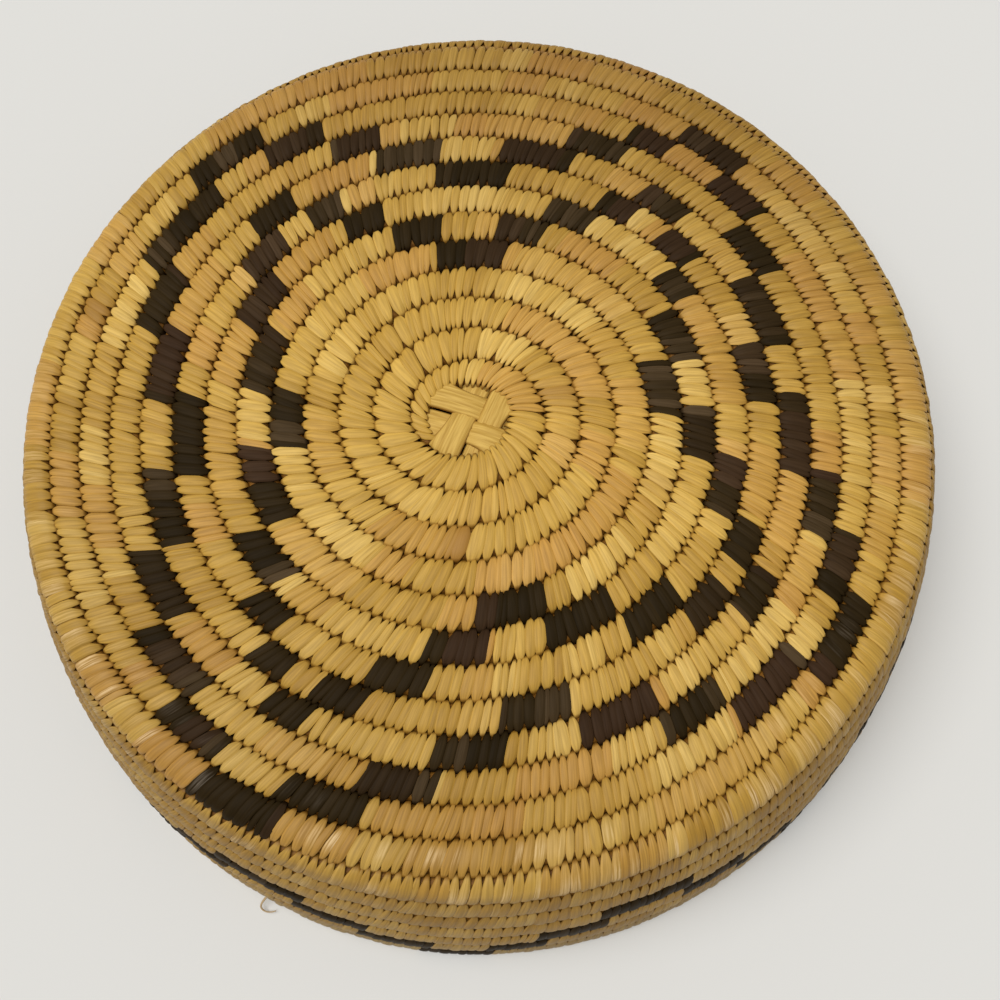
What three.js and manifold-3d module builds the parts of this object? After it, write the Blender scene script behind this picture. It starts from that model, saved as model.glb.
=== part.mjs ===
// A coiled basket tray, standing on its rim with its flat base up.
// Millimetres, +Z up. The origin is on the floor under the middle of the tray.
// One foundation coil spirals out from a plaited start across the base, bends over the crest and
// runs down the wall to the rim. Dark stitches are wrapped round it in steps, row by row.
import * as THREE from "three";
import { mergeVertices } from "three/addons/utils/BufferGeometryUtils.js";
import Module from "manifold-3d";

// Rows: a row is one turn of the coil, and a row edge is where two rows meet.
const START_RADIUS = 7.8; // distance of the first row's inner edge from the start's middle
const FIRST_ROW = 10.22; // width of the first row
const ROW_LOSS = 0.19; // how much narrower each row is than the one before it
const WALL_ROW = 7.56; // width of the rows on the wall
const ROWS = 19.49; // rows from the start to the rim's edge
const COIL_TIP_TURN = -0.35; // where the coil begins, thin, in turns before the first full row
const HOLE_TURN = 0.25; // up to this turn the coil keeps to the start's round hole
const COIL_TAIL_TURN = 19.15; // where the coil's tapered tail ends under the rim
const WALL_TURN = 12.0; // the splice between the base's coil and the wall's
const RIM_TURN = 18.0; // the splice between the wall's coil and the rim's

// Profile: flat base, tight bend at the crest, then a flared wall that steepens to the rim.
const FLAT_RADIUS = 120.5;
const BEND_RADIUS = 4.6;
const CREST_SLOPE = THREE.MathUtils.degToRad(62.5);
const RIM_SLOPE = THREE.MathUtils.degToRad(80.3);
const RIM_OVAL = 3.7; // the rim is pulled out front and back, and in at the sides, by this much
const ROW_CENTRE = new THREE.Vector2(-3.05, -1.85); // the base's rows lie round this place
const ROW_OVAL = 0.95; // and are wider left to right, and narrower the other way, by this much

// Section: shares of the room that a row gives to the coil and to the dark stitches round it.
const COIL_SHARE = 0.78;
const WRAP_INNER_SHARE = 0.86;
const WRAP_OUTER_SHARE = 0.97;
const WRAP_TIP_SHARE = 1.06; // stitches reach into the next row, so dark steps side by side join
const HALF_THICKNESS = 3.78; // most that a row stands out from its middle, stitches included
const FLAT_SHARE = 0.5; // share of the section's width that its flat top and bottom take
const FLOOR_CUT = 0.6; // depth of the flat that the rim stands on
const END_GAP = 0.4; // between the butted ends of two lengths of coil, or of two dark runs
const STEPS_A_TURN = 24;
const NEAREST_STEP = 0.0008; // a step nearer than this to a run's end, in turns, is left out

// Plaited start: four flat strips, two each way, one over and one under. They reach out to the
// coil round the hole they fill.
const START_OFFSET = new THREE.Vector2(2.4, -1.4); // from the middle of the hole to their crossing
const START_TWIST = THREE.MathUtils.degToRad(-18); // of the first strip from the left-right line
const STRIP_WIDTH = 6.4;
const STRIP_THICKNESS = 0.6;
const STRIP_SPACING = 1.4; // free width between two strips side by side
const STRIP_CLEARANCE = 0.3; // between strips where they cross, and between their ends and the coil

// Dark steps. Each step is a run of dark stitches on one row, given by its width in degrees.
// They go round anticlockwise, and rise to a corner and fall to a valley one row at a time.
const STEP_OVERLAP = 1.0; // how far a step runs past its edge, beside the next one
const OUTER_STAR = {
  name: "outer_star_point",
  start: 2,
  row: 7,
  points: [
    { valley: 12, up: [13.5, 9.5, 8], corner: 10.5, down: [7, 9.5, 12.5] },
    { valley: 14, up: [11.5, 8, 9.5], corner: 12, down: [14.5, 11.5, 12] },
    { valley: 15.5, up: [12, 11, 11, 8], corner: 10, down: [9.5, 9, 11.5] },
    { valley: 11.5, up: [13, 9, 11.5], corner: 11, down: [8.5, 9, 13.5] },
  ],
};
const INNER_STAR = {
  name: "inner_star_point",
  start: 0,
  row: 4,
  points: [
    { valley: 15, up: [14.5, 8, 8], corner: 8.5, down: [7.5, 9.5, 12] },
    { valley: 19, up: [12, 9, 6.5], corner: 8.5, down: [8.5, 12, 15.5] },
    { valley: 17.5, up: [19, 12, 8, 5.5], corner: 7, down: [7, 10, 11.5] },
    { valley: 16, up: [15.5, 11, 7], corner: 7.5, down: [7.5, 11, 13] },
  ],
};
// The zigzag on the wall has the rim's row as its corners, which are as wide as its other steps
// leave room for. It climbs one row more at the back, where it takes up the row that the spiral
// has gained in a turn.
const ZIGZAG = {
  name: "wall_zigzag",
  start: 264,
  row: 19,
  repeats: 8,
  down: [6, 7],
  valley: 9.5,
  up: [7.5, 7],
  extraAfter: 4,
  extra: 8,
};

const wasm = await Module();
wasm.setup();

// Distance along the profile, from the middle, to the row edge that lies so many rows out.
function rowEdge(rows) {
  const narrowing = (FIRST_ROW - WALL_ROW) / ROW_LOSS;
  const inner = Math.min(rows, narrowing);
  const across = START_RADIUS + FIRST_ROW * inner - 0.5 * ROW_LOSS * inner ** 2;
  return across + WALL_ROW * (rows - inner);
}
const RIM_EDGE = rowEdge(ROWS);

// The profile's middle line: radius, height below the base's middle, and slope.
function profile(along) {
  const bend = BEND_RADIUS * CREST_SLOPE;
  if (along <= FLAT_RADIUS) return { radius: along, drop: 0, slope: 0 };
  const turned = Math.min(along - FLAT_RADIUS, bend) / BEND_RADIUS;
  const radius = FLAT_RADIUS + BEND_RADIUS * Math.sin(turned);
  const drop = BEND_RADIUS * (1 - Math.cos(turned));
  const onWall = along - FLAT_RADIUS - bend;
  if (onWall <= 0) return { radius, drop, slope: turned };
  const curve = (RIM_SLOPE - CREST_SLOPE) / (RIM_EDGE - FLAT_RADIUS - bend);
  const slope = CREST_SLOPE + curve * onWall;
  return {
    radius: radius + (Math.sin(slope) - Math.sin(CREST_SLOPE)) / curve,
    drop: drop + (Math.cos(CREST_SLOPE) - Math.cos(slope)) / curve,
    slope,
  };
}

// The coil's section at a turn: its middle along the profile and half its row's width.
// The first turn swells from the start's round hole, and the last tapers to a level rim.
function rowAt(turn) {
  const inner = rowEdge(Math.max(turn, HOLE_TURN));
  const outer = Math.min(rowEdge(turn + 1), RIM_EDGE);
  return { middle: (inner + outer) / 2, half: (outer - inner) / 2 };
}

// Height of the base's middle above the floor, with the rim's lowest edge cut flat.
function baseHeight() {
  const half = WALL_ROW / 2;
  const rim = profile(RIM_EDGE - half);
  return rim.drop + COIL_SHARE * half * Math.sin(rim.slope) - FLOOR_CUT;
}
const BASE_HEIGHT = baseHeight();
const WALL_DROP = profile(RIM_EDGE).drop;

// Where a place of the profile has slid to with its row. On the base the rows lie round their own
// middle, and down the wall they level out with the rim. The stitches point at the middle of the
// tray, save near the start, where they stand round it.
function slid(along, azimuth) {
  const share = 1 - Math.max(0, (along - FLAT_RADIUS) / (RIM_EDGE - FLAT_RADIUS));
  const outwards = ROW_CENTRE.x * Math.cos(azimuth) + ROW_CENTRE.y * Math.sin(azimuth);
  const sideways = ROW_CENTRE.y * Math.cos(azimuth) - ROW_CENTRE.x * Math.sin(azimuth);
  return {
    along: along + share * (outwards + ROW_OVAL * Math.cos(2 * azimuth)),
    azimuth: azimuth + (sideways * START_RADIUS) / along ** 2,
  };
}

// A point of a turn's section. The section's width lies along the profile and its thickness
// stands out of it, and u and v are shares of half of each.
function pointAt(turn, u, v) {
  const { middle, half } = rowAt(turn);
  const place = slid(middle + u * half, Math.PI / 2 - 2 * Math.PI * turn);
  const { radius, drop, slope } = profile(place.along);
  const oval = RIM_OVAL * (drop / WALL_DROP) * Math.cos(2 * place.azimuth);
  const rise = v * Math.min(half, HALF_THICKNESS);
  const out = radius - oval + rise * Math.sin(slope);
  return new THREE.Vector3(
    out * Math.cos(place.azimuth),
    out * Math.sin(place.azimuth),
    BASE_HEIGHT - drop + rise * Math.cos(slope),
  );
}

// The same between two steps of a turn, where it lies on the straight line from step to step, so
// that coil and wraps stay parallel.
function sectionPoint(turn, u, v) {
  const step = turn * STEPS_A_TURN;
  const low = Math.floor(step + 1e-9);
  const onto = pointAt((low + 1) / STEPS_A_TURN, u, v);
  return pointAt(low / STEPS_A_TURN, u, v).lerp(onto, Math.max(0, step - low));
}

// The six corners of a section whose size is a share of its row. Its sides are as far out as tip.
function ring(turn, share, tip = share) {
  const flat = FLAT_SHARE * share;
  const corners = [
    [tip, 0],
    [flat, share],
    [-flat, share],
    [-tip, 0],
    [-flat, -share],
    [flat, -share],
  ];
  return corners.map(([u, v]) => sectionPoint(turn, u, v));
}

// Every step of the turn from one turn to another, with both ends.
function turnsBetween(from, to) {
  const turns = [from];
  for (let i = Math.ceil(from * STEPS_A_TURN); i / STEPS_A_TURN < to; i += 1) {
    const here = i / STEPS_A_TURN;
    if (here - from > NEAREST_STEP && to - here > NEAREST_STEP) turns.push(here);
  }
  turns.push(to);
  return turns;
}

// A solid from a closed geometry.
function solidOf(geometry) {
  geometry.deleteAttribute("normal");
  geometry.deleteAttribute("uv");
  const merged = mergeVertices(geometry);
  return new wasm.Manifold(
    new wasm.Mesh({
      numProp: 3,
      vertProperties: merged.attributes.position.array,
      triVerts: new Uint32Array(merged.index.array),
    }),
  );
}

// A solid from points and triangles, with its faces turned outwards.
function solidFrom(points, triangles) {
  let volume = 0;
  for (const [a, b, c] of triangles)
    volume += points[a].dot(points[b].clone().cross(points[c]));
  const facing = volume < 0 ? triangles.map(([a, b, c]) => [a, c, b]) : triangles;
  return solidOf(new THREE.BufferGeometry().setFromPoints(points).setIndex(facing.flat()));
}

// The side faces between rings that follow each other.
function sides(rings, first, turnedIn) {
  const triangles = [];
  const n = rings[0].length;
  for (let i = 0; i + 1 < rings.length; i += 1) {
    for (let k = 0; k < n; k += 1) {
      const a = first + i * n + k;
      const b = first + i * n + ((k + 1) % n);
      const quad = turnedIn ? [[a, a + n, b], [b, a + n, b + n]] : [[a, b, a + n], [b, b + n, a + n]];
      triangles.push(...quad);
    }
  }
  return triangles;
}

// A length of coil with closed ends.
function coil(from, to) {
  const rings = turnsBetween(from, to).map((turn) => ring(turn, COIL_SHARE));
  const points = rings.flat();
  const n = rings[0].length;
  const last = points.length - n;
  const triangles = sides(rings, 0, false);
  for (let k = 1; k + 1 < n; k += 1) {
    triangles.push([0, k + 1, k]);
    triangles.push([last, last + k, last + k + 1]);
  }
  return solidFrom(points, triangles);
}

// A run of dark stitches: a band wound round the coil from one turn to another.
function wrap(from, to) {
  const turns = turnsBetween(from, to);
  const outer = turns.map((turn) => ring(turn, WRAP_OUTER_SHARE, WRAP_TIP_SHARE));
  const inner = turns.map((turn) => ring(turn, WRAP_INNER_SHARE));
  const points = [...outer.flat(), ...inner.flat()];
  const n = outer[0].length;
  const innerFirst = turns.length * n;
  const triangles = [...sides(outer, 0, false), ...sides(inner, innerFirst, true)];
  const lastOuter = innerFirst - n;
  const lastInner = points.length - n;
  for (let k = 0; k < n; k += 1) {
    const next = (k + 1) % n;
    triangles.push([k, innerFirst + k, next], [next, innerFirst + k, innerFirst + next]);
    triangles.push([lastOuter + k, lastOuter + next, lastInner + k]);
    triangles.push([lastOuter + next, lastInner + next, lastInner + k]);
  }
  return solidFrom(points, triangles);
}

// A length along a row, in turns.
function inTurns(length, turn) {
  const { radius } = profile(rowAt(turn).middle);
  return length / (2 * Math.PI * radius);
}

// Turn of a row at an azimuth in degrees. Rows are followed anticlockwise, and one that is
// followed so runs inwards by one row in each full turn.
function turnOf(row, azimuth) {
  return row + (90 - azimuth) / 360;
}

// Dark steps that follow each other round, each { row, from, to }, joined into one solid.
function steppedRun(steps) {
  const bands = steps.map(({ row, from, to }, i) => {
    const low = turnOf(row, to);
    const high = turnOf(row, from);
    const lowReach = i + 1 === steps.length ? -END_GAP / 2 : STEP_OVERLAP;
    const highReach = i === 0 ? -END_GAP / 2 : STEP_OVERLAP;
    return wrap(low - inTurns(lowReach, low), high + inTurns(highReach, high));
  });
  return bands.reduce((joined, band) => joined.add(band));
}

// A star's steps, one list for each of its points.
function starPoints({ start, row, points }) {
  let azimuth = start;
  let here = row;
  return points.map(({ valley, up, corner, down }) => {
    const steps = [];
    const add = (width, change) => {
      here += change;
      steps.push({ row: here, from: azimuth, to: azimuth + width });
      azimuth += width;
    };
    add(valley, 0);
    up.forEach((width) => add(width, 1));
    add(corner, 1);
    down.forEach((width) => add(width, -1));
    here -= 1;
    return steps;
  });
}

// The zigzag's steps, one list for each repeat.
function zigzagRepeats(zigzag) {
  const others = [...zigzag.down, zigzag.valley, ...zigzag.up];
  const room = (360 - zigzag.extra) / zigzag.repeats;
  const corner = others.reduce((left, width) => left - width, room);
  const repeats = [];
  let azimuth = zigzag.start;
  let here = zigzag.row;
  for (let i = 0; i < zigzag.repeats; i += 1) {
    const steps = [];
    const add = (width, row) => {
      steps.push({ row, from: azimuth, to: azimuth + width });
      azimuth += width;
    };
    add(corner, here);
    zigzag.down.forEach((width, k) => add(width, here - 1 - k));
    const lowest = here - 1 - zigzag.down.length;
    add(zigzag.valley, lowest);
    zigzag.up.forEach((width, k) => add(width, lowest + 1 + k));
    if (i + 1 === zigzag.extraAfter) {
      add(zigzag.extra, here);
      here += 1;
    }
    repeats.push(steps);
  }
  return repeats;
}

// Cuts off what lies below the floor.
function standing(solid) {
  const beyond = 4 * RIM_EDGE; // wider than the tray all round
  const above = new THREE.BoxGeometry(beyond, beyond, beyond).translate(0, 0, beyond / 2);
  return solid.intersect(solidOf(above));
}

// The round hole inside the coil's first turn, less the strips' clearance, which is also kept
// from the end of the coil's tip.
function startHole() {
  const end = COIL_TIP_TURN + 1;
  const turns = turnsBetween(COIL_TIP_TURN, end - inTurns(STRIP_CLEARANCE, COIL_TIP_TURN));
  const outline = turns.map((turn) => {
    const { x, y } = sectionPoint(turn, -COIL_SHARE, 0);
    const inner = new THREE.Vector2(x, y);
    return inner.add(ROW_CENTRE.clone().sub(inner).setLength(STRIP_CLEARANCE));
  });
  const through = 2 * BASE_HEIGHT; // from the floor to well above the base
  const hole = { depth: through, bevelEnabled: false };
  return solidOf(new THREE.ExtrudeGeometry(new THREE.Shape(outline), hole));
}

// A strip of the start, drawn from its side, over one crossing strip and under the other.
function stripGeometry() {
  const rise = (STRIP_THICKNESS + STRIP_CLEARANCE) / 2;
  const edge = STRIP_SPACING / 2;
  const end = rowEdge(1);
  const half = STRIP_THICKNESS / 2;
  const shape = new THREE.Shape();
  shape.moveTo(end, -rise - half);
  shape.lineTo(end, -rise + half);
  shape.lineTo(edge, -rise + half);
  shape.lineTo(-edge, rise + half);
  shape.lineTo(-end, rise + half);
  shape.lineTo(-end, rise - half);
  shape.lineTo(-edge, rise - half);
  shape.lineTo(edge, -rise - half);
  shape.closePath();
  const strip = new THREE.ExtrudeGeometry(shape, { depth: STRIP_WIDTH, bevelEnabled: false });
  return strip.rotateX(Math.PI / 2).translate(0, STRIP_WIDTH + STRIP_SPACING / 2, 0);
}

// Least distance between two turns of a coil that lie side by side, measured on the corners of
// their sections and on points between them.
function leastGap(from, to) {
  const samples = 4;
  const edgePoints = (turn) => {
    const corners = ring(turn, COIL_SHARE);
    return corners.flatMap((corner, k) => {
      const next = corners[(k + 1) % corners.length];
      return Array.from({ length: samples }, (_, i) => corner.clone().lerp(next, i / samples));
    });
  };
  let least = Infinity;
  for (let turn = from; turn + 1 <= to; turn += 0.5 / STEPS_A_TURN) {
    const here = edgePoints(turn);
    const there = edgePoints(turn + 1);
    for (const p of here) for (const q of there) least = Math.min(least, p.distanceTo(q));
  }
  return least;
}

const foundation = new THREE.MeshStandardMaterial({ color: 0xb9924f, roughness: 0.7, metalness: 0 });
const darkStitch = new THREE.MeshStandardMaterial({ color: 0x241a14, roughness: 0.45, metalness: 0 });
const plaitStrip = new THREE.MeshStandardMaterial({ color: 0xc9a862, roughness: 0.65, metalness: 0 });

function geometryOf(solid) {
  const mesh = solid.getMesh();
  const geometry = new THREE.BufferGeometry();
  geometry.setAttribute("position", new THREE.BufferAttribute(mesh.vertProperties, 3));
  geometry.setIndex(new THREE.BufferAttribute(mesh.triVerts, 1));
  geometry.computeVertexNormals();
  return geometry;
}

function named(name, geometry, material) {
  const mesh = new THREE.Mesh(geometry, material);
  mesh.name = name;
  return mesh;
}

const tray = new THREE.Group();

function addCoil(name, from, to) {
  const start = from === COIL_TIP_TURN ? from : from + inTurns(END_GAP / 2, from);
  const end = to === COIL_TAIL_TURN ? to : to - inTurns(END_GAP / 2, to);
  tray.add(named(name, geometryOf(standing(coil(start, end))), foundation));
  console.log(name + ": least gap to itself " + leastGap(start, end).toFixed(2) + " mm");
}
addCoil("base_coil", COIL_TIP_TURN, WALL_TURN);
addCoil("wall_coil", WALL_TURN, RIM_TURN);
addCoil("rim_coil", RIM_TURN, COIL_TAIL_TURN);

for (const star of [OUTER_STAR, INNER_STAR]) {
  starPoints(star).forEach((steps, i) => {
    const name = star.name + "_" + (i + 1);
    tray.add(named(name, geometryOf(steppedRun(steps)), darkStitch));
  });
}
zigzagRepeats(ZIGZAG).forEach((steps, i) => {
  const name = ZIGZAG.name + "_" + (i + 1);
  tray.add(named(name, geometryOf(standing(steppedRun(steps))), darkStitch));
});

// The start's four strips lie in the middle of the coil's thickness.
const crossing = ROW_CENTRE.clone().add(START_OFFSET);
for (let i = 0; i < 4; i += 1) {
  const strip = stripGeometry().rotateZ(START_TWIST + (i * Math.PI) / 2);
  strip.translate(crossing.x, crossing.y, BASE_HEIGHT);
  const cut = solidOf(strip).intersect(startHole());
  tray.add(named("start_strip_" + (i + 1), geometryOf(cut), plaitStrip));
}

export default tray;
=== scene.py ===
# Dresses the coiled basket tray: every stitch of its rows, the foundation under them, the plaited
# start and a loose fibre at the rim. Lengths are in millimetres until a mesh is written in metres.
import math

import bpy
import numpy as np
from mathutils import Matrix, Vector


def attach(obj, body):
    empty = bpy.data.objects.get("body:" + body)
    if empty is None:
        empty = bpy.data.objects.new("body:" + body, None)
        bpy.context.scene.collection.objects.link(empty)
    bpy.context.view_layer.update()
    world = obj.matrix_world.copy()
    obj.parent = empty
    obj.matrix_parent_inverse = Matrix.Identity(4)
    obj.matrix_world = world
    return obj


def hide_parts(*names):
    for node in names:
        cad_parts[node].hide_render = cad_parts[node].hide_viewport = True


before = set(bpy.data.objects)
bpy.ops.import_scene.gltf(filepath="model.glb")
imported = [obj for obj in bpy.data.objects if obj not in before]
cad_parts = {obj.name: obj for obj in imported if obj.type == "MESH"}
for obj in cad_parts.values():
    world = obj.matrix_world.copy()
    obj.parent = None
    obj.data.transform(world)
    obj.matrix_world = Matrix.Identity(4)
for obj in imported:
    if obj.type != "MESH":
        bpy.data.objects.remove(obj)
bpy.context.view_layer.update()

MM = 0.001
chance = np.random.default_rng(41)

# Rows and profile, as in the CAD source
START_RADIUS = 7.8
FIRST_ROW = 10.22
ROW_LOSS = 0.19
WALL_ROW = 7.56
ROWS = 19.49
COIL_TIP_TURN = -0.35
HOLE_TURN = 0.25
COIL_TAIL_TURN = 19.15
WALL_TURN = 12.0
RIM_TURN = 18.0
FLAT_RADIUS = 120.5
BEND_RADIUS = 4.6
CREST_SLOPE = math.radians(62.5)
RIM_SLOPE = math.radians(80.3)
RIM_OVAL = 3.7
ROW_CENTRE = (-3.05, -1.85)
ROW_OVAL = 0.95
COIL_SHARE = 0.78
HALF_THICKNESS = 3.78
FLOOR_CUT = 0.6

# Stitches
STITCH_PITCH = 2.4  # along a row
LEAST_PITCH = 0.6  # from one stitch's outer end to the next, in pitches
WIDTH_SPREAD = 0.1
STITCH_HEIGHT = 0.42  # above where it lies, for each pitch of its width
HEIGHT_SPREAD = 0.3
REACH_SPREAD = 0.07
STITCH_REACH = 1.12  # a stitch's ends, in half rows, so that they lie among the next row's
BARE_REACH = 0.86  # the same where no row follows
STITCH_SEAT = 0.84  # share of the row's thickness at which the stitches lie on the coil
SIDE_FULLNESS = 0.8  # exponents of the loop: the lower, the squarer
TOP_FULLNESS = 0.45
LOOP_OVER = (math.radians(-12), math.radians(192))  # the part over the coil, with most rings
# Width of a stitch, in pitches, at places from its middle to its ends: it swells against its
# neighbours, then narrows to pass between those of the next row, which leaves a small hole
WIDTH_PLACES = (0.0, 0.5, 0.72, 0.86, 1.0, 1.12)
WIDTHS = (1.12, 1.1, 0.88, 0.68, 0.55, 0.38)
EVENING = 0.4  # how far a stitch's outer end gives way to even spacing
END_SPREAD = 0.26  # random shift of an outer end, in pitches
LEAN_LEFT = 1.1  # a stitch's slant, in pitches, at the left and at the right
LEAN_RIGHT = 0.6
RINGS_OVER = 16
RINGS_UNDER = 4
RINGS = RINGS_OVER + RINGS_UNDER
STITCHES_A_STRIP = (3, 11)  # least, and one more than most
STRIP_TONES = (0.15, 0.85)
TONE_SPREAD = 0.2  # between stitches of one strip
STRIP_WARMTH = (-0.9, 0.7)  # a strip that draws less than 0 isn't warm
STEP_OVERLAP = 1.0  # how far a dark step runs past its edge, as in the CAD source
MAP_MARGIN = 0.06  # free share of a stitch's cell of the map, at each side

# Fibre bundle under the stitches: its share of the row's width and thickness
BUNDLE_SHARE = (0.95, 0.78)
BUNDLE_FULLNESS = 0.8
BUNDLE_PLACES = 12
BUNDLE_RINGS = 120  # in a turn
BUNDLE_GRAIN = 6.0  # length of grain from one ring to the next

# Where the rim stands on the floor: least height of its stitches' edges, and of the bundle
PRESSED_STITCH = 0.25
PRESSED_BUNDLE = 0.6

# Brown stains on the base, each with its middle and how far it spreads
STAINS = [((46.3, -20.9), 3.2), ((-4.8, -39.2), 3.6), ((23.5, 5.1), 4.0), ((-110.8, 30.5), 4.0)]

# Painted shade: darker outwards from the middle and towards two sides, where the light falls off,
# and darker on the wall
PAINTED_SHADE_OUTWARDS = 0.1
PAINTED_SHADE_SIDES = ((math.radians(70), 0.42), (math.radians(250), 0.28))
PAINTED_SHADE_WALL = 0.36
PAINTED_SHADE_MOST = 0.56
WALL_START = (124.5, 127.5)  # distances from the start over which the wall's look sets in

# Greying of the wall and the rim by handling
WALL_GREY = 0.1
RIM_GREY = 0.45
GREYING_TURNS = (17.0, 18.5)  # over which the rim's grey sets in

# Painted glints: pale streaks on the stitches at the crest, mostly on one side
CREST_RADIUS = 122.5
CREST_SPREAD = 6.5  # how far from the crest the painted glints reach
GLINT_SIDE = math.radians(270)
GLINT_PAST = 0.25  # share of the painted glints that is left a quarter turn from that side
GLINT_STITCHES = (-1.3, 1.1)  # a stitch that draws less than 0 has no painted glint
GLINT_CROWN = 1.3  # painted glint at a stitch's middle, and how fast it falls off to its ends
GLINT_FALL = 2

# Plaited start
START_OFFSET = (2.4, -1.4)
START_TWIST = math.radians(-18)
PLAIT_HOLE = 13.5  # radius to which its strips are cut
PLAIT_WIDTH = 7.0
PLAIT_LEANS = [math.radians(a) for a in (0, -6, 0, -6)]  # of each strip, besides the twist
PLAIT_FAN = 0.4  # how much wider a strip is at its ends
PLAIT_SPACING = 0.3
PLAIT_THICKNESS = 0.9
PLAIT_LIFT = 1.5  # height above the rows' middle at which a strip goes from over to under
PLAIT_RISE = 0.7  # how far it is above that where it is over, and below it where it is under
PLAIT_BEND = 2.2  # length over which a strip goes from over to under
PLAIT_DOME = 0.9
PLAIT_ROUNDNESS = 0.98  # 1 where a strip's dome goes all the way down to its edges
PLAIT_STRANDS = 3
PLAIT_RIDGE = 0.16
PLAIT_RIDGE_POWER = 3  # the higher, the narrower the grooves between its strands
PLAIT_DROOP = 1.6  # how far its ends go down, under the first row of stitches
PLAIT_DROOP_POWER = 6  # the higher, the nearer to its ends it goes down
PLAIT_WAVE = 0.1  # how far its strands wander sideways, in half widths of a strip
PLAIT_WAVES = 3  # radians of that wave from a strip's middle to its end
PLAIT_STEPS = 60  # points along a strip, and across it
PLAIT_PLACES = 31

# Loose end of a leaf strip, at the rim
LOOSE_END = [
    (-60.2, -130.6, 4.0),
    (-61.9, -132.4, 3.0),
    (-62.8, -133.8, 2.0),
    (-61.7, -135.2, 1.0),
    (-59.9, -135.6, 0.8),
    (-58.2, -135.0, 1.3),
]
LOOSE_END_RADIUS = 0.36
LOOSE_END_TAPER = 0.6

# Dark steps, as in the CAD source
OUTER_STAR = {
    "name": "outer_star_point",
    "start": 2,
    "row": 7,
    "points": [
        {"valley": 12, "up": [13.5, 9.5, 8], "corner": 10.5, "down": [7, 9.5, 12.5]},
        {"valley": 14, "up": [11.5, 8, 9.5], "corner": 12, "down": [14.5, 11.5, 12]},
        {"valley": 15.5, "up": [12, 11, 11, 8], "corner": 10, "down": [9.5, 9, 11.5]},
        {"valley": 11.5, "up": [13, 9, 11.5], "corner": 11, "down": [8.5, 9, 13.5]},
    ],
}
INNER_STAR = {
    "name": "inner_star_point",
    "start": 0,
    "row": 4,
    "points": [
        {"valley": 15, "up": [14.5, 8, 8], "corner": 8.5, "down": [7.5, 9.5, 12]},
        {"valley": 19, "up": [12, 9, 6.5], "corner": 8.5, "down": [8.5, 12, 15.5]},
        {"valley": 17.5, "up": [19, 12, 8, 5.5], "corner": 7, "down": [7, 10, 11.5]},
        {"valley": 16, "up": [15.5, 11, 7], "corner": 7.5, "down": [7.5, 11, 13]},
    ],
}
ZIGZAG = {
    "name": "wall_zigzag",
    "start": 264,
    "row": 19,
    "repeats": 8,
    "down": [6, 7],
    "valley": 9.5,
    "up": [7.5, 7],
    "extra_after": 4,
    "extra": 8,
}

# The light stitches, in sections of the coil from one turn to another
LIGHT_SECTIONS = {
    "start_rows": (-1, 5),
    "inner_rows": (5, 8),
    "middle_rows": (8, 10.5),
    "outer_rows": (10.5, 12.4),
    "crest_rows": (12.4, 14.2),
    "wall_rows": (14.2, 16.1),
    "lower_rows": (16.1, 18.1),
    "rim_row": (18.1, 20),
}


# Path of the coil


def row_edge(rows):
    narrowing = (FIRST_ROW - WALL_ROW) / ROW_LOSS
    inner = np.minimum(rows, narrowing)
    across = START_RADIUS + FIRST_ROW * inner - 0.5 * ROW_LOSS * inner**2
    return across + WALL_ROW * (rows - inner)


RIM_EDGE = row_edge(ROWS)


def profile(along):
    """Radius, drop below the base's middle and slope, at a distance from the start."""
    bend = BEND_RADIUS * CREST_SLOPE
    turned = np.clip((along - FLAT_RADIUS) / BEND_RADIUS, 0, CREST_SLOPE)
    radius = np.minimum(along, FLAT_RADIUS) + BEND_RADIUS * np.sin(turned)
    drop = BEND_RADIUS * (1 - np.cos(turned))
    on_wall = np.maximum(along - FLAT_RADIUS - bend, 0)
    curve = (RIM_SLOPE - CREST_SLOPE) / (RIM_EDGE - FLAT_RADIUS - bend)
    slope = CREST_SLOPE + curve * on_wall
    radius = radius + (np.sin(slope) - math.sin(CREST_SLOPE)) / curve
    drop = drop + (math.cos(CREST_SLOPE) - np.cos(slope)) / curve
    return radius, drop, np.where(on_wall > 0, slope, turned)


def row_at(turn):
    """Middle of a turn's row along the profile, and half its width."""
    inner = row_edge(np.maximum(turn, HOLE_TURN))
    outer = np.minimum(row_edge(turn + 1), RIM_EDGE)
    return (inner + outer) / 2, (outer - inner) / 2


def base_height():
    half = WALL_ROW / 2
    _, drop, slope = profile(RIM_EDGE - half)
    return drop + COIL_SHARE * half * math.sin(slope) - FLOOR_CUT


BASE_HEIGHT = base_height()
WALL_DROP = profile(RIM_EDGE)[1]


def slid(along, azimuth):
    """Where a place of the profile has slid to with its row."""
    share = 1 - np.maximum(0, (along - FLAT_RADIUS) / (RIM_EDGE - FLAT_RADIUS))
    outwards = ROW_CENTRE[0] * np.cos(azimuth) + ROW_CENTRE[1] * np.sin(azimuth)
    sideways = ROW_CENTRE[1] * np.cos(azimuth) - ROW_CENTRE[0] * np.sin(azimuth)
    along_too = along + share * (outwards + ROW_OVAL * np.cos(2 * azimuth))
    return along_too, azimuth + sideways * START_RADIUS / along**2


def section_point(turn, u, v):
    """A point of the coil's section. u and v are shares of half the row's width and thickness."""
    turn, u, v = np.broadcast_arrays(turn, u, v)
    middle, half = row_at(turn)
    along, azimuth = slid(middle + u * half, math.pi / 2 - 2 * math.pi * turn)
    radius, drop, slope = profile(along)
    oval = RIM_OVAL * (drop / WALL_DROP) * np.cos(2 * azimuth)
    rise = v * np.minimum(half, HALF_THICKNESS)
    out = radius - oval + rise * np.sin(slope)
    height = BASE_HEIGHT - drop + rise * np.cos(slope)
    return np.stack([out * np.cos(azimuth), out * np.sin(azimuth), height], axis=-1)


# Mesh building


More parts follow.
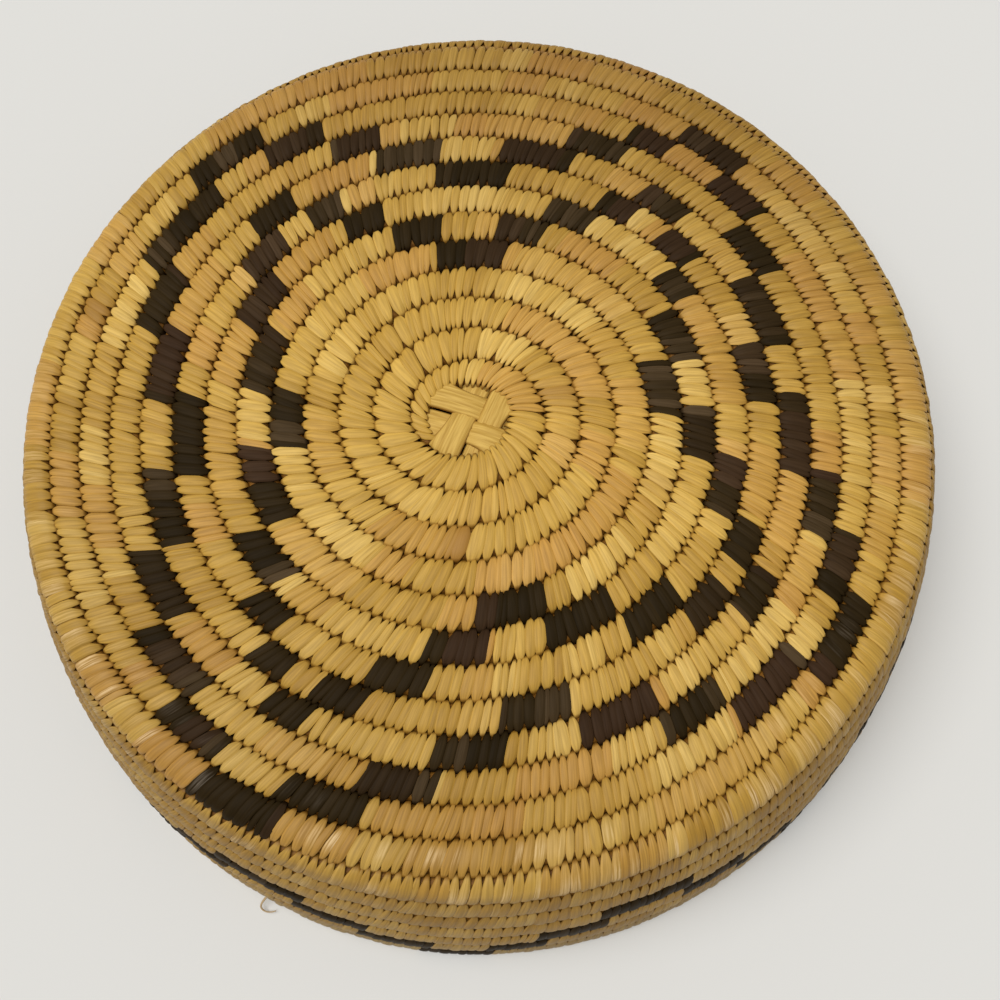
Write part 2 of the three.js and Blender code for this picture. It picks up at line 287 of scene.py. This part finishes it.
def write_mesh(name, points, quads, layers=None, bake_uv=None):
    """A smooth mesh from points in millimetres and quads of point numbers."""
    mesh = bpy.data.meshes.new(name)
    mesh.vertices.add(len(points))
    mesh.vertices.foreach_set("co", (points * MM).ravel())
    mesh.loops.add(quads.size)
    mesh.loops.foreach_set("vertex_index", quads.ravel())
    mesh.polygons.add(len(quads))
    mesh.polygons.foreach_set("loop_start", np.arange(0, quads.size, 4))
    mesh.polygons.foreach_set("use_smooth", np.ones(len(quads), bool))
    mesh.update(calc_edges=True)
    for key, values in (layers or {}).items():
        kind = "FLOAT" if values.ndim == 1 else "FLOAT_VECTOR"
        layer = mesh.attributes.new(key, kind, "POINT")
        layer.data.foreach_set("value" if values.ndim == 1 else "vector", values.ravel())
    if bake_uv is not None:
        mesh.uv_layers.new(name="OFBake").uv.foreach_set("vector", bake_uv.ravel())
    piece = bpy.data.objects.new(name, mesh)
    bpy.context.scene.collection.objects.link(piece)
    return piece


def tube_quads(copies, rings, around, closed):
    """Quads of tubes whose points are numbered by copy, then ring, then place round the ring."""
    last = rings if closed else rings - 1
    copy, ring, place = np.meshgrid(
        np.arange(copies), np.arange(last), np.arange(around), indexing="ij"
    )
    next_ring = (ring + 1) % rings
    next_place = (place + 1) % around

    def number(r, p):
        return (copy * rings + r) * around + p

    corners = [
        number(ring, place),
        number(ring, next_place),
        number(next_ring, next_place),
        number(next_ring, place),
    ]
    return np.stack(corners, axis=-1).reshape(-1, 4)


def cell_uvs(copies, rings, around, last):
    """One cell of the map for each copy, with its rings along it and its places across."""
    side = math.ceil(math.sqrt(copies))
    copy, ring, place = np.meshgrid(
        np.arange(copies), np.arange(last), np.arange(around), indexing="ij"
    )
    uvs = []
    for r, p in ((0, 0), (0, 1), (1, 1), (1, 0)):
        across = MAP_MARGIN + (1 - 2 * MAP_MARGIN) * (place + p) / around
        along = MAP_MARGIN + (1 - 2 * MAP_MARGIN) * (ring + r) / last
        cell = [(copy % side + across) / side, (copy // side + along) / side]
        uvs.append(np.stack(cell, axis=-1))
    return np.stack(uvs, axis=-2).reshape(-1, 2)


# Dark steps


def turn_of(row, azimuth):
    """Turn of a row at an azimuth in degrees."""
    return row + (90 - azimuth) / 360


def star_points(star):
    """Steps of each point of a star: row, and the azimuths where it starts and ends."""
    azimuth, row = star["start"], star["row"]
    points = []
    for point in star["points"]:
        steps = []
        widths = [(point["valley"], 0)]
        widths += [(width, 1) for width in point["up"]]
        widths += [(point["corner"], 1)]
        widths += [(width, -1) for width in point["down"]]
        for width, change in widths:
            row += change
            steps.append((row, azimuth, azimuth + width))
            azimuth += width
        row -= 1
        points.append(steps)
    return points


def zigzag_repeats(zigzag):
    """Steps of each repeat of the zigzag. Its corners are as wide as the others leave room for."""
    room = (360 - zigzag["extra"]) / zigzag["repeats"]
    corner = room - sum(zigzag["down"]) - zigzag["valley"] - sum(zigzag["up"])
    azimuth, row = zigzag["start"], zigzag["row"]
    lowest = row - 1 - len(zigzag["down"])
    repeats = []
    for i in range(zigzag["repeats"]):
        widths = [(corner, row)]
        widths += [(width, row - 1 - k) for k, width in enumerate(zigzag["down"])]
        widths += [(zigzag["valley"], lowest)]
        widths += [(width, lowest + 1 + k) for k, width in enumerate(zigzag["up"])]
        if i + 1 == zigzag["extra_after"]:
            widths.append((zigzag["extra"], row))
        steps = []
        for width, at_row in widths:
            steps.append((at_row, azimuth, azimuth + width))
            azimuth += width
        if i + 1 == zigzag["extra_after"]:
            row += 1
            lowest += 1
        repeats.append(steps)
    return repeats


def dark_runs():
    """Each dark CAD node's name with the turns between which its stitches lie."""
    runs = {}
    for star in (OUTER_STAR, INNER_STAR):
        for i, steps in enumerate(star_points(star)):
            runs[f"{star['name']}_{i + 1}"] = steps
    for i, steps in enumerate(zigzag_repeats(ZIGZAG)):
        runs[f"{ZIGZAG['name']}_{i + 1}"] = steps
    return {
        name: [(turn_of(row, to), turn_of(row, start)) for row, start, to in steps]
        for name, steps in runs.items()
    }


# Stitches


def length_in_turns(length, turn):
    return length / (2 * math.pi * profile(row_at(turn)[0])[0])


def place_stitches():
    """Turns of every stitch: its middle, inner end, outer end, and the width it has.

    Each starts between two stitches of the row inside it. Where a longer row needs one more,
    it is sewn through the stitch between two such gaps.
    """
    inner = [COIL_TIP_TURN]
    outer = []
    gap = 0
    owed = 0.0
    while inner[-1] < COIL_TAIL_TURN:
        turn = inner[-1]
        pitch = length_in_turns(STITCH_PITCH, turn)
        leftness = (1 - math.sin(2 * math.pi * turn)) / 2
        lean = pitch * (LEAN_RIGHT + (LEAN_LEFT - LEAN_RIGHT) * leftness)
        last = outer[-1] if outer else turn + lean - pitch
        wanted = turn + lean - last
        step = EVENING * pitch + (1 - EVENING) * wanted + chance.uniform(-1, 1) * END_SPREAD * pitch
        outer.append(last + max(step, LEAST_PITCH * pitch))
        while gap + 1 < len(outer) and (outer[gap] + outer[gap + 1]) / 2 + 1 < turn + pitch / 2:
            gap += 1
        if turn < COIL_TIP_TURN + 1 or gap + 1 >= len(outer):
            inner.append(turn + pitch)
            continue
        following = (outer[gap] + outer[gap + 1]) / 2 + 1
        if owed + (following - turn) / pitch >= 2:
            following = (turn + following) / 2
        owed += (following - turn) / pitch - 1
        inner.append(following)
    inner = np.array(inner[: len(outer)])
    outer = np.array(outer)
    middles = (inner + outer) / 2
    steps = np.diff(middles)
    widths = np.maximum(np.append(steps, steps[-1]), np.insert(steps, 0, steps[0]))
    return middles, inner, outer, widths


def strip_tones(count):
    """Tone and warmth of each stitch. One strip of leaf sews several, which share most of it."""
    tones = np.empty(count)
    warmth = np.empty(count)
    i = 0
    while i < count:
        n = chance.integers(*STITCHES_A_STRIP)
        tones[i : i + n] = chance.uniform(*STRIP_TONES)
        warmth[i : i + n] = max(0, chance.uniform(*STRIP_WARMTH))
        i += n
    tones += chance.uniform(-TONE_SPREAD, TONE_SPREAD, count)
    return np.clip(tones, 0, 1), warmth


def loop_shape(outermost):
    """Rings of a stitch round the section: place, way out, width and height, for each stitch."""
    over = np.linspace(*LOOP_OVER, RINGS_OVER)
    under = np.linspace(LOOP_OVER[1], LOOP_OVER[0] + 2 * math.pi, RINGS_UNDER + 2)[1:-1]
    angle = np.concatenate([over, under])
    side = np.sign(np.cos(angle)) * np.abs(np.cos(angle)) ** SIDE_FULLNESS
    v = STITCH_SEAT * np.sign(np.sin(angle)) * np.abs(np.sin(angle)) ** TOP_FULLNESS
    bare = (side > 0) & outermost[:, None]
    u = side * np.where(bare, BARE_REACH, STITCH_REACH)
    width = np.where(bare, WIDTHS[0], np.interp(np.abs(u), WIDTH_PLACES, WIDTHS))
    height = STITCH_HEIGHT * width
    every = np.ones_like(u)
    return u, v * every, np.cos(angle) * every, np.sin(angle) * every, width, height


# Section of a stitch, in half its width across and in its height up
CROSS = np.array(
    [(-1, 0), (-0.88, 0.58), (-0.5, 0.93), (0, 1), (0.5, 0.93), (0.88, 0.58), (1, 0), (0, -0.5)]
)


def wear_and_painted_light_layers(middles, u, half, warmth, painted_glint):
    """How each ring of each stitch looks by its stains and warmth, greying by handling, painted
    shade and painted glints.
    """
    places = section_point(middles, 0, STITCH_SEAT)[:, :2]
    radii = np.hypot(*places.T)
    azimuths = np.arctan2(places[:, 1], places[:, 0])
    stain = np.zeros(len(middles))
    for place, spread in STAINS:
        far = np.hypot(*(places - place).T)
        stain = np.maximum(stain, np.exp(-((far / spread) ** 2)))
    # painted shade: darker outwards and towards two sides, where the light falls off, and darker on
    # the wall
    outwards = np.minimum(radii / FLAT_RADIUS, 1)
    painted_shade = PAINTED_SHADE_OUTWARDS * outwards**2
    for azimuth, share in PAINTED_SHADE_SIDES:
        painted_shade += share * outwards * np.maximum(np.cos(azimuths - azimuth), 0)
    along, _ = slid(row_at(middles)[0][:, None] + u * half, azimuths[:, None])
    on_wall = np.interp(along, WALL_START, (0, 1))
    grey = RIM_GREY * np.interp(middles, GREYING_TURNS, (0, 1))
    # painted glints at the crest, mostly on one side, strongest at a stitch's middle
    crest = np.exp(-(((radii - CREST_RADIUS) / CREST_SPREAD) ** 2))
    crest *= np.clip(GLINT_PAST + np.cos(azimuths - GLINT_SIDE), 0, 1)
    crown = np.clip(GLINT_CROWN - GLINT_FALL * np.abs(u), 0, 1)
    return {
        "warmth": warmth * (1 - on_wall),
        "stain": stain[:, None] * np.ones_like(u),
        "painted_shade": np.minimum(painted_shade[:, None] + PAINTED_SHADE_WALL * on_wall, PAINTED_SHADE_MOST),
        "grey": grey[:, None] + WALL_GREY * on_wall,
        "painted_glint": painted_glint * crest[:, None] * crown,
    }


def stitch_piece(name, picked, stitches, looks):
    """The picked stitches as one mesh, each a closed loop round the coil."""
    middles, inner_ends, outer_ends, widths = (values[picked] for values in stitches)
    tones, warmth, painted_glint, fatness, thickness, lengths = (values[picked, None] for values in looks)
    outermost = middles > COIL_TAIL_TURN - 1
    u, v, out_u, out_v, width, height = loop_shape(outermost)
    turn = ((1 - u) * inner_ends[:, None] + (1 + u) * outer_ends[:, None]) / 2
    half = row_at(middles)[1][:, None]
    rise = np.minimum(half, HALF_THICKNESS)
    x, y = CROSS[:, 0], CROSS[:, 1]
    turns = turn[..., None] + x * (width * widths[:, None] * fatness)[..., None] / 2
    lift = y * (height * thickness)[..., None]
    us = (u * lengths)[..., None] + (out_u / half)[..., None] * lift
    vs = v[..., None] + (out_v / rise)[..., None] * lift
    points = section_point(turns, us, vs)
    points[..., 2] = np.maximum(points[..., 2], PRESSED_STITCH * (y.max() - y))
    every = np.ones(points.shape[:3])
    layers = {
        "tone": tones * np.ones_like(u),
        **wear_and_painted_light_layers(middles, u, half, warmth, painted_glint),
        # crown and edge mark a stitch's ends and sides, where the painted shade in the grooves goes
        "crown": np.clip(1 - np.abs(u), 0, 1),
    }
    layers = {key: (values[..., None] * every).ravel() for key, values in layers.items()}
    layers["edge"] = (np.abs(x) * every).ravel()
    strand = [x * every, (u * half)[..., None] * every, picked[:, None, None] * every]
    layers["strand"] = np.stack(strand, axis=-1).reshape(-1, 3)
    quads = tube_quads(len(middles), RINGS, len(CROSS), True)
    uvs = cell_uvs(len(middles), RINGS, len(CROSS), RINGS)
    return write_mesh(name, points.reshape(-1, 3), quads, layers, uvs)


def capped(quads, rings, around):
    """Quads with both ends closed, for a tube whose rings have an even number of points."""
    ends = np.array([[k, around - 1 - k, around - 2 - k, k + 1] for k in range(around // 2 - 1)])
    return np.concatenate([quads, ends, ends[:, ::-1] + (rings - 1) * around])


def foundation_piece(name, start, end):
    """The bundle of fibre under the stitches."""
    around = BUNDLE_PLACES
    rings = int((end - start) * BUNDLE_RINGS)
    turns = np.linspace(start, end, rings)
    angle = 2 * math.pi * (np.arange(around) + 0.5) / around
    u = BUNDLE_SHARE[0] * np.sign(np.cos(angle)) * np.abs(np.cos(angle)) ** BUNDLE_FULLNESS
    v = BUNDLE_SHARE[1] * np.sign(np.sin(angle)) * np.abs(np.sin(angle)) ** BUNDLE_FULLNESS
    points = section_point(turns[:, None], u, v)
    points[..., 2] = np.maximum(points[..., 2], PRESSED_BUNDLE)
    every = np.ones((rings, around))
    lengthways = BUNDLE_GRAIN * np.arange(rings)[:, None]
    strand = np.stack([angle * every, lengthways * every, 0 * every], axis=-1)
    quads = capped(tube_quads(1, rings, around, False), rings, around)
    return write_mesh(name, points.reshape(-1, 3), quads, {"strand": strand.reshape(-1, 3)})


# Plaited start


def turned(x, y, angle):
    return x * math.cos(angle) - y * math.sin(angle), x * math.sin(angle) + y * math.cos(angle)


def plait_piece(name, quarter):
    """A strip of the start, over one crossing strip and under the other, cut to the hole."""
    steps, places = PLAIT_STEPS, PLAIT_PLACES
    angle = START_TWIST + quarter * math.pi / 2 + PLAIT_LEANS[quarter]
    off_x, off_y = turned(-START_OFFSET[0], -START_OFFSET[1], -angle)
    across = np.linspace(-1, 1, places)
    along = np.linspace(-1, 1, steps)[:, None]
    width = PLAIT_WIDTH * (1 + PLAIT_FAN * along**2)
    y = PLAIT_SPACING / 2 + width * (across + 1) / 2
    reach = np.sqrt(PLAIT_HOLE**2 - (y - off_y) ** 2)
    x = off_x + along * reach
    wave = PLAIT_WAVE * np.sin(PLAIT_WAVES * along)
    ridges = np.abs(np.cos(math.pi * PLAIT_STRANDS / 2 * (across + 1 + wave)))
    middle = PLAIT_LIFT - PLAIT_RISE * np.tanh(x / PLAIT_BEND)
    middle = middle - PLAIT_DROOP * along**PLAIT_DROOP_POWER
    dome = PLAIT_DOME * np.sqrt(1 - PLAIT_ROUNDNESS * across**2)
    top = middle + dome - PLAIT_RIDGE * ridges**PLAIT_RIDGE_POWER
    bottom = middle - PLAIT_THICKNESS + 0 * y
    xs, ys = turned(np.hstack([x, x[:, ::-1]]), np.hstack([y, y[:, ::-1]]), angle)
    xs += ROW_CENTRE[0] + START_OFFSET[0]
    ys += ROW_CENTRE[1] + START_OFFSET[1]
    points = np.stack([xs, ys, BASE_HEIGHT + np.hstack([top, bottom[:, ::-1]])], axis=-1)
    around = 2 * places
    sideways = np.hstack([y, y[:, ::-1]])
    lengthways = np.hstack([x, x[:, ::-1]])
    strand = np.stack([sideways, lengthways, 0 * sideways + quarter], axis=-1)
    edge = np.abs(np.hstack([across, across[::-1]])) * np.ones((steps, around))
    layers = {"strand": strand.reshape(-1, 3), "edge": edge.ravel()}
    quads = capped(tube_quads(1, steps, around, False), steps, around)
    return write_mesh(name, points.reshape(-1, 3), quads, layers)


def loose_end_piece(name):
    """A thin tapering tube along the loose end's places."""
    curve = bpy.data.curves.new(name, "CURVE")
    curve.dimensions = "3D"
    curve.bevel_depth = LOOSE_END_RADIUS * MM
    curve.bevel_resolution = 2
    curve.use_fill_caps = True
    spline = curve.splines.new("NURBS")
    spline.points.add(len(LOOSE_END) - 1)
    for i, place in enumerate(LOOSE_END):
        spline.points[i].co = (*(c * MM for c in place), 1)
        spline.points[i].radius = 1 - LOOSE_END_TAPER * i / (len(LOOSE_END) - 1)
    spline.use_endpoint_u = True
    piece = bpy.data.objects.new(name, curve)
    bpy.context.scene.collection.objects.link(piece)
    return piece


# Materials


def node_material(name):
    material = bpy.data.materials.new(name)
    material.use_nodes = True
    nodes = material.node_tree.nodes
    return material, nodes, material.node_tree.links, nodes["Principled BSDF"]


def ramp(nodes, stops):
    node = nodes.new("ShaderNodeValToRGB")
    elements = node.color_ramp.elements
    elements[0].position, elements[0].color = stops[0][0], (*stops[0][1], 1)
    elements[1].position, elements[1].color = stops[-1][0], (*stops[-1][1], 1)
    for position, color in stops[1:-1]:
        elements.new(position).color = (*color, 1)
    return node


def attribute(nodes, name):
    node = nodes.new("ShaderNodeAttribute")
    node.attribute_name = name
    return node


def mixed(nodes, links, blend, factor, first, second):
    node = nodes.new("ShaderNodeMix")
    node.data_type = "RGBA"
    node.blend_type = blend
    inputs = node.inputs
    for socket, value in ((inputs[0], factor), (inputs[6], first), (inputs[7], second)):
        if isinstance(value, bpy.types.NodeSocket):
            links.new(value, socket)
        else:
            socket.default_value = value
    return node.outputs[2]


def linear(red, green, blue):
    """A colour in 0 to 255 as the photograph shows it, in linear light."""
    return tuple(((c / 255 + 0.055) / 1.055) ** 2.4 for c in (red, green, blue))


def fibre(nodes, links, grain, detail):
    """Noise drawn out along the strand. The grain is its scale across and along it."""
    strand = attribute(nodes, "strand")
    scale = nodes.new("ShaderNodeMapping")
    scale.inputs["Scale"].default_value = (*grain, STRAND_STEP)
    noise = nodes.new("ShaderNodeTexNoise")
    noise.inputs["Scale"].default_value = 1
    noise.inputs["Detail"].default_value = detail
    links.new(strand.outputs["Vector"], scale.inputs["Vector"])
    links.new(scale.outputs["Vector"], noise.inputs["Vector"])
    return noise.outputs["Fac"]


def bump(nodes, links, height, strength, distance):
    node = nodes.new("ShaderNodeBump")
    node.inputs["Strength"].default_value = strength
    node.inputs["Distance"].default_value = distance * MM
    links.new(height, node.inputs["Height"])
    return node.outputs["Normal"]


def masked(nodes, links, layer, stops, below, above):
    """Above where a layer's ramp is white, below where it is black."""
    mask = ramp(nodes, stops)
    links.new(attribute(nodes, layer).outputs["Fac"], mask.inputs["Fac"])
    return mixed(nodes, links, "MIX", mask.outputs["Color"], below, above)


BLACK = (0, 0, 0)
WHITE = (1, 1, 1)
STRAND_STEP = 3.7  # how far the noise moves on from one strand to the next
STITCH_GRAIN = (3.4, 0.12)
STITCH_DETAIL = 3
STITCH_BUMP = (0.3, 0.2)  # strength, and depth in millimetres
FIBRE_DETAIL = 4
FIBRE_BUMP = (0.5, 0.3)
FIBRE_ROUGHNESS = 0.62
FIBRE_SPECULAR = 0.3
# Stops of the ramps: how fibre and stitches are streaked, then where painted glints, stains and
# painted shade in the grooves show
FIBRE_STREAKS = (0.34, 0.66)
STREAKS = [(0.32, (0.78, 0.76, 0.7)), (0.68, (1.14, 1.14, 1.12))]
# pale streaks of the painted glints
GLINT_STREAKS = [(0.4, BLACK), (0.6, WHITE)]
STAIN_MASK = [(0, BLACK), (1, (0.7,) * 3)]
END_GROOVE_SHADE = [(0.0, (0.7,) * 3), (0.14, BLACK)]  # painted shade by the crown, which is 0 at a stitch's ends
# painted shade at a stitch's sides, by the edge
SIDE_GROOVE_SHADE = [(0.84, BLACK), (1.0, (0.6,) * 3)]
# painted shade at the edges of a plait strip
PLAIT_GROOVE_SHADE = [(0.86, BLACK), (1, WHITE)]


def stitch_material(name, tones, colors, roughness, specular):
    """A leaf strip's tones, then its warmth, painted shade, greying by handling, grain, painted
    glints, stains and painted shade in the grooves round a stitch.
    """
    material, nodes, links, shader = node_material(name)
    tone = ramp(nodes, tones)
    links.new(attribute(nodes, "tone").outputs["Fac"], tone.inputs["Fac"])
    color = tone.outputs["Color"]
    # warmth, painted shade and greying by handling, each mixing in its colour
    for layer in ("warmth", "painted_shade", "grey"):
        share = attribute(nodes, layer).outputs["Fac"]
        color = mixed(nodes, links, "MIX", share, color, (*colors[layer], 1))
    grain = fibre(nodes, links, STITCH_GRAIN, STITCH_DETAIL)
    streaks = ramp(nodes, STREAKS)
    links.new(grain, streaks.inputs["Fac"])
    color = mixed(nodes, links, "MULTIPLY", 1.0, color, streaks.outputs["Color"])
    # painted glints, as pale streaks on the stitches at the crest
    glinting = ramp(nodes, GLINT_STREAKS)
    links.new(grain, glinting.inputs["Fac"])
    painted_glint = attribute(nodes, "painted_glint").outputs["Color"]
    painted_glint = mixed(nodes, links, "MULTIPLY", 1.0, painted_glint, glinting.outputs["Color"])
    color = mixed(nodes, links, "MIX", painted_glint, color, (*colors["painted_glint"], 1))
    color = masked(nodes, links, "stain", STAIN_MASK, color, (*colors["stain"], 1))
    # painted shade in the grooves at a stitch's ends and sides
    color = masked(nodes, links, "crown", END_GROOVE_SHADE, color, (*colors["groove_shade"], 1))
    color = masked(nodes, links, "edge", SIDE_GROOVE_SHADE, color, (*colors["groove_shade"], 1))
    links.new(color, shader.inputs["Base Color"])
    shader.inputs["Roughness"].default_value = roughness
    shader.inputs["Specular IOR Level"].default_value = specular
    links.new(bump(nodes, links, grain, *STITCH_BUMP), shader.inputs["Normal"])
    return material


def fibre_material(name, dark, light, grain, groove_shade=None):
    """Streaked fibre between a dark and a light colour, with painted shade in the grooves at its
    edges if asked.
    """
    material, nodes, links, shader = node_material(name)
    streaks = fibre(nodes, links, grain, FIBRE_DETAIL)
    tone = ramp(nodes, list(zip(FIBRE_STREAKS, (dark, light))))
    links.new(streaks, tone.inputs["Fac"])
    color = tone.outputs["Color"]
    if groove_shade:
        color = masked(nodes, links, "edge", PLAIT_GROOVE_SHADE, color, (*groove_shade, 1))
    links.new(color, shader.inputs["Base Color"])
    shader.inputs["Roughness"].default_value = FIBRE_ROUGHNESS
    shader.inputs["Specular IOR Level"].default_value = FIBRE_SPECULAR
    links.new(bump(nodes, links, streaks, *FIBRE_BUMP), shader.inputs["Normal"])
    return material


LIGHT = stitch_material(
    "yucca leaf stitch",
    [
        (0.0, linear(186, 143, 54)),
        (0.35, linear(203, 160, 68)),
        (0.7, linear(217, 175, 82)),
        (1.0, linear(236, 197, 108)),
    ],
    {
        "warmth": linear(206, 152, 74),
        # painted shade
        "painted_shade": linear(98, 60, 6),
        "grey": linear(144, 128, 94),
        # painted glint
        "painted_glint": linear(236, 206, 156),
        "stain": linear(156, 108, 42),
        # painted shade in the grooves
        "groove_shade": linear(122, 76, 8),
    },
    roughness=0.55,
    specular=0.3,
)
DARK = stitch_material(
    "dark stitch",
    [
        (0.0, linear(40, 30, 13)),
        (0.6, linear(54, 41, 21)),
        (1.0, linear(90, 72, 50)),
    ],
    {
        "warmth": linear(72, 50, 36),
        # painted shade
        "painted_shade": linear(32, 23, 8),
        "grey": linear(48, 38, 24),
        # painted glint
        "painted_glint": linear(170, 156, 138),
        "stain": linear(50, 36, 20),
        # painted shade in the grooves
        "groove_shade": linear(30, 18, 6),
    },
    roughness=0.5,
    specular=0.04,
)
FOUNDATION = fibre_material(
    "fibre bundle", linear(110, 68, 12), linear(150, 102, 30), grain=(1.6, 0.2)
)
PLAIT = fibre_material(
    "plaited leaf",
    linear(186, 144, 58),
    linear(222, 182, 92),
    grain=(1.6, 0.1),
    # painted shade in the grooves at the strip's edges
    groove_shade=linear(156, 114, 42),
)
LOOSE = fibre_material("loose leaf end", linear(170, 144, 104), linear(198, 172, 134), grain=(1, 1))


# The tray

stitches = place_stitches()
middles = stitches[0]
count = len(middles)
looks = (
    *strip_tones(count),
    # each stitch's share of the painted glints
    np.clip(chance.uniform(*GLINT_STITCHES, count), 0, 1),
    1 + chance.uniform(-WIDTH_SPREAD, WIDTH_SPREAD, count),
    1 + chance.uniform(-HEIGHT_SPREAD, HEIGHT_SPREAD, count),
    1 + chance.uniform(-REACH_SPREAD, REACH_SPREAD, count),
)
is_dark = np.zeros(count, bool)
for name, runs in dark_runs().items():
    inside = np.zeros(count, bool)
    for low, high in runs:
        overlap = length_in_turns(STEP_OVERLAP, high)
        inside |= (middles >= low - overlap) & (middles < high + overlap)
    inside &= ~is_dark
    is_dark |= inside
    piece = stitch_piece(name + "_stitches", np.flatnonzero(inside), stitches, looks)
    piece.data.materials.append(DARK)
    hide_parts(name)
    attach(piece, "root")

for name, (low, high) in LIGHT_SECTIONS.items():
    picked = np.flatnonzero((middles >= low) & (middles < high) & ~is_dark)
    piece = stitch_piece("light_stitches_" + name, picked, stitches, looks)
    piece.data.materials.append(LIGHT)
    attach(piece, "root")

for name, start, end in (
    ("base_coil", COIL_TIP_TURN, WALL_TURN),
    ("wall_coil", WALL_TURN, RIM_TURN),
    ("rim_coil", RIM_TURN, COIL_TAIL_TURN),
):
    piece = foundation_piece(name + "_foundation", start, end)
    piece.data.materials.append(FOUNDATION)
    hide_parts(name)
    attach(piece, "root")

for quarter in range(4):
    piece = plait_piece(f"plait_strip_{quarter + 1}", quarter)
    piece.data.materials.append(PLAIT)
    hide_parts(f"start_strip_{quarter + 1}")
    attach(piece, "root")

loose_end = loose_end_piece("loose_leaf_end")
loose_end.data.materials.append(LOOSE)
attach(loose_end, "root")

# Floor, lights and camera

FLOOR_COLOR = linear(225, 224, 220)
FLOOR_REACH = 3.0
FLOOR_ROUGHNESS = 0.8
SUN_FROM = (-0.35, 0.05, 1)
SUN_STRENGTH = 2.15
SUN_SOFTNESS = math.radians(50)
WORLD_STRENGTH = 0.36
SKY_COLOR = (1.0, 0.99, 0.97)
CAMERA_PLACE = (0.0059, -0.1023, 0.3006)
CAMERA_TILT = math.radians(16.74)
CAMERA_LENS = 34.88
CAMERA_NEAREST = 0.01

floor_mesh = bpy.data.meshes.new("floor")
corners = [(x * FLOOR_REACH, y * FLOOR_REACH, 0) for x, y in ((-1, -1), (1, -1), (1, 1), (-1, 1))]
floor_mesh.from_pydata(corners, [], [(0, 1, 2, 3)])
floor = bpy.data.objects.new("floor", floor_mesh)
bpy.context.scene.collection.objects.link(floor)
floor_material, _, _, floor_shader = node_material("plain pale floor")
floor_shader.inputs["Base Color"].default_value = (*FLOOR_COLOR, 1)
floor_shader.inputs["Roughness"].default_value = FLOOR_ROUGHNESS
floor_shader.inputs["Specular IOR Level"].default_value = 0.0
floor_mesh.materials.append(floor_material)

world = bpy.data.worlds.new("soft light")
bpy.context.scene.world = world
world.use_nodes = True
world_nodes = world.node_tree.nodes
world_links = world.node_tree.links
sky = world_nodes["Background"]
sky.inputs["Color"].default_value = (*SKY_COLOR, 1)
sky.inputs["Strength"].default_value = WORLD_STRENGTH
backdrop = world_nodes.new("ShaderNodeBackground")
backdrop.inputs["Color"].default_value = (*FLOOR_COLOR, 1)
backdrop.inputs["Strength"].default_value = 1
light_path = world_nodes.new("ShaderNodeLightPath")
seen = world_nodes.new("ShaderNodeMixShader")
world_links.new(light_path.outputs["Is Camera Ray"], seen.inputs["Fac"])
world_links.new(sky.outputs["Background"], seen.inputs[1])
world_links.new(backdrop.outputs["Background"], seen.inputs[2])
world_links.new(seen.outputs["Shader"], world_nodes["World Output"].inputs["Surface"])

sun_light = bpy.data.lights.new("sun", "SUN")
sun_light.energy = SUN_STRENGTH
sun_light.angle = SUN_SOFTNESS
sun = bpy.data.objects.new("sun", sun_light)
sun.rotation_euler = Vector(SUN_FROM).to_track_quat("Z", "Y").to_euler()
bpy.context.scene.collection.objects.link(sun)

camera_data = bpy.data.cameras.new("camera")
camera_data.lens = CAMERA_LENS
camera_data.clip_start = CAMERA_NEAREST
camera = bpy.data.objects.new("camera", camera_data)
camera.location = CAMERA_PLACE
camera.rotation_euler = (CAMERA_TILT, 0, 0)
bpy.context.scene.collection.objects.link(camera)
bpy.context.scene.camera = camera
bpy.context.scene.view_settings.view_transform = "Standard"
